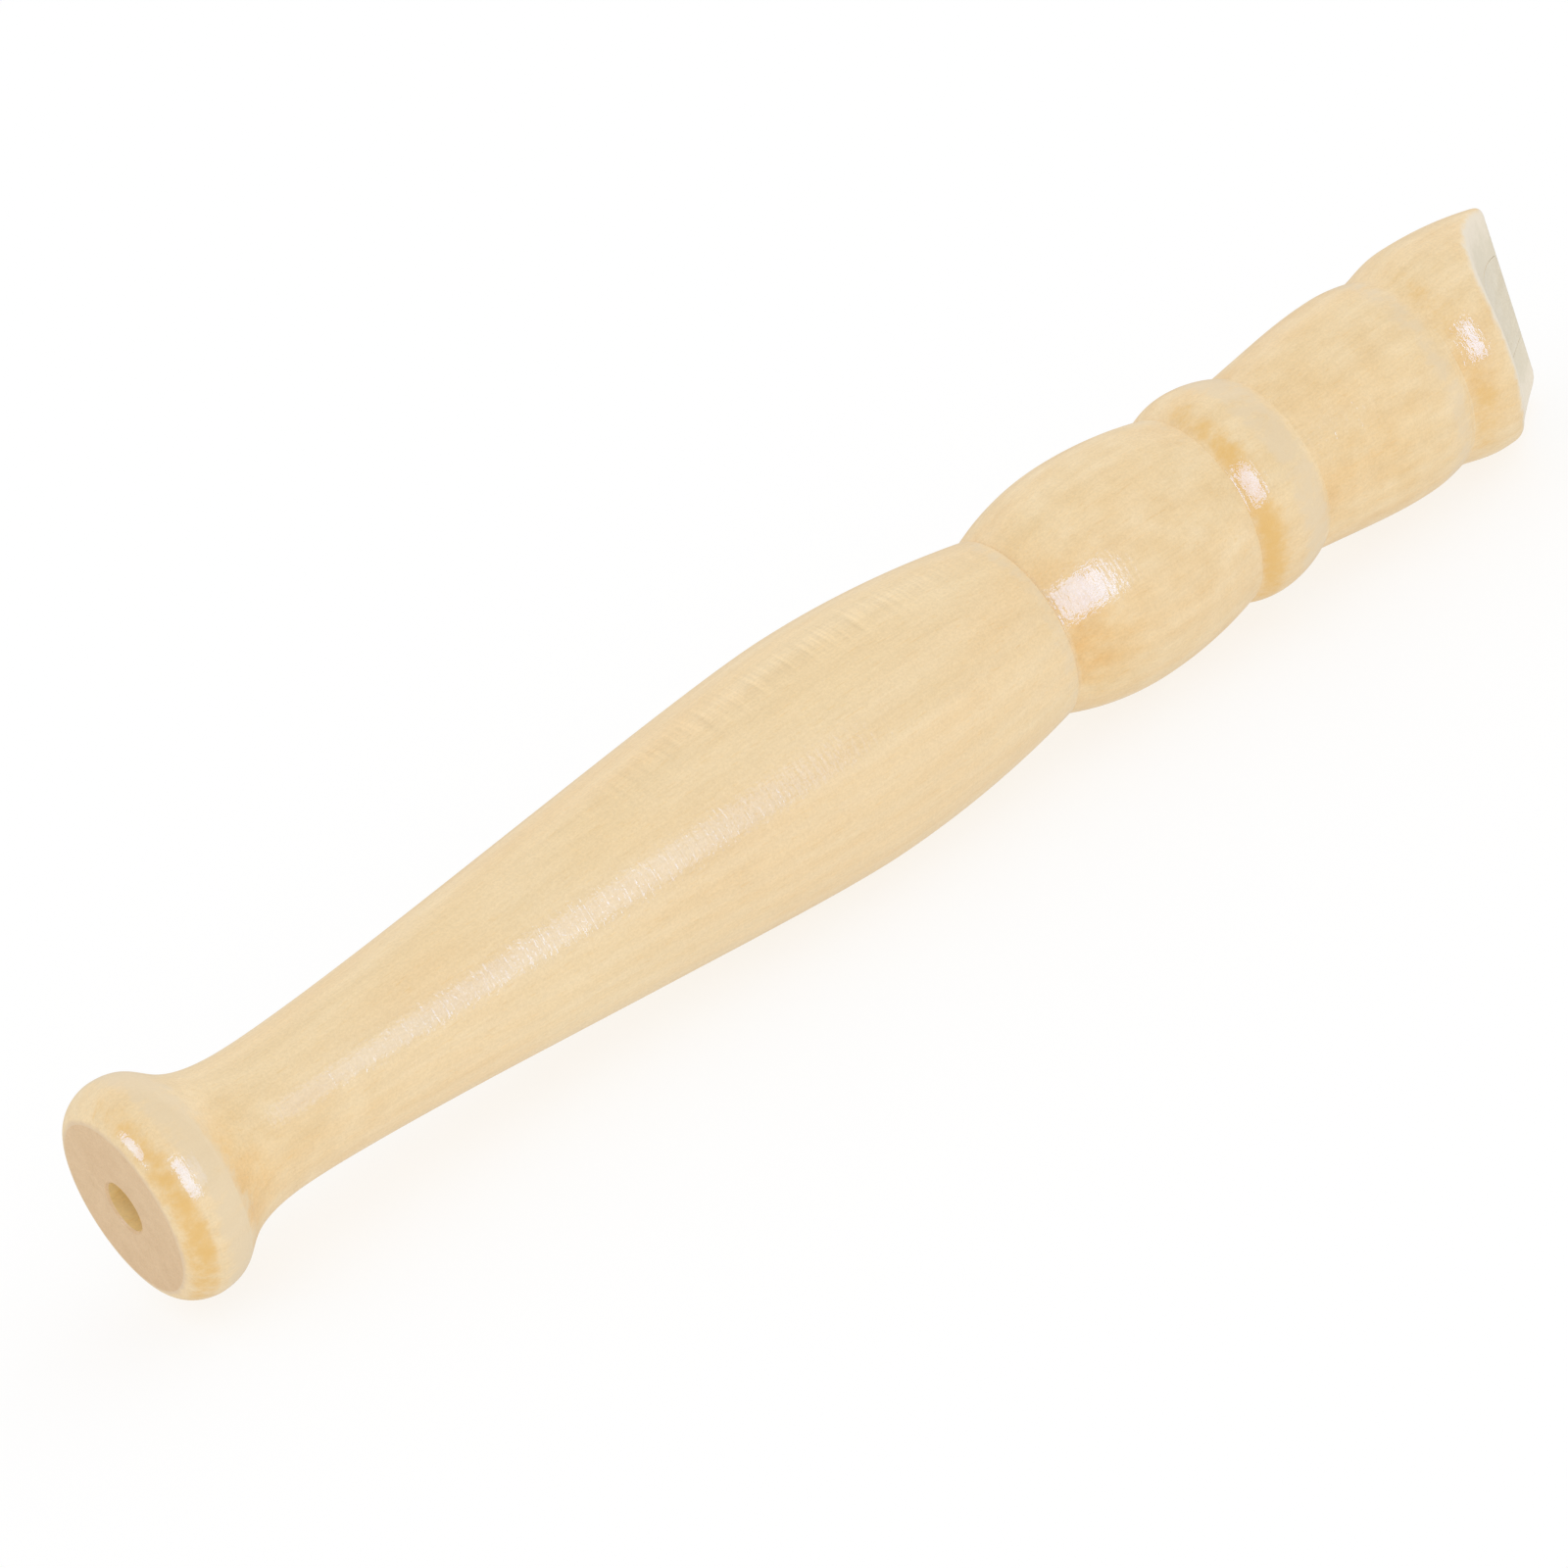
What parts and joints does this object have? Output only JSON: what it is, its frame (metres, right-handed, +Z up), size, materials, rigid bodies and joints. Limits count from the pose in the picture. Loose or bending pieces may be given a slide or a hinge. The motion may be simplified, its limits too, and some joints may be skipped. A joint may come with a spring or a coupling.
{
  "type": "wooden recorder",
  "caption": "Small lacquered wooden recorder: turned body with flared foot and finger holes, and a pull-off head with ring beads, window, fipple block and hollowed beak.",
  "frame": {"origin": "middle of the recorder's length, straight below its long axis, on the surface that it lies on", "axes": "+X along the long axis towards the foot, -Y towards the window and the finger holes, +Z up"},
  "size_m": [0.2, 0.0278, 0.0279],
  "materials": {
    "lacquered_wood": "pale straight-grained hardwood under clear gloss lacquer",
    "bare_wood": "sanded and unlacquered",
    "cork": "waxed cork"
  },
  "bodies": {
    "body": {"body_joint": "lacquered_wood"},
    "cork": {"tenon_cork": "cork"},
    "head": {"head_joint": "lacquered_wood", "fipple_block": "bare_wood"}
  },
  "joints": [
    {"name": "head_twist", "type": "hinge", "parent": "body", "child": "cork", "pos_m": [-0.03, 0, 0.01393], "axis": [-1, 0, 0], "continuous": true},
    {"name": "head_pull", "type": "slide", "parent": "cork", "child": "head", "axis": [-1, 0, 0], "range_m": [0, 0.022]}
  ]
}
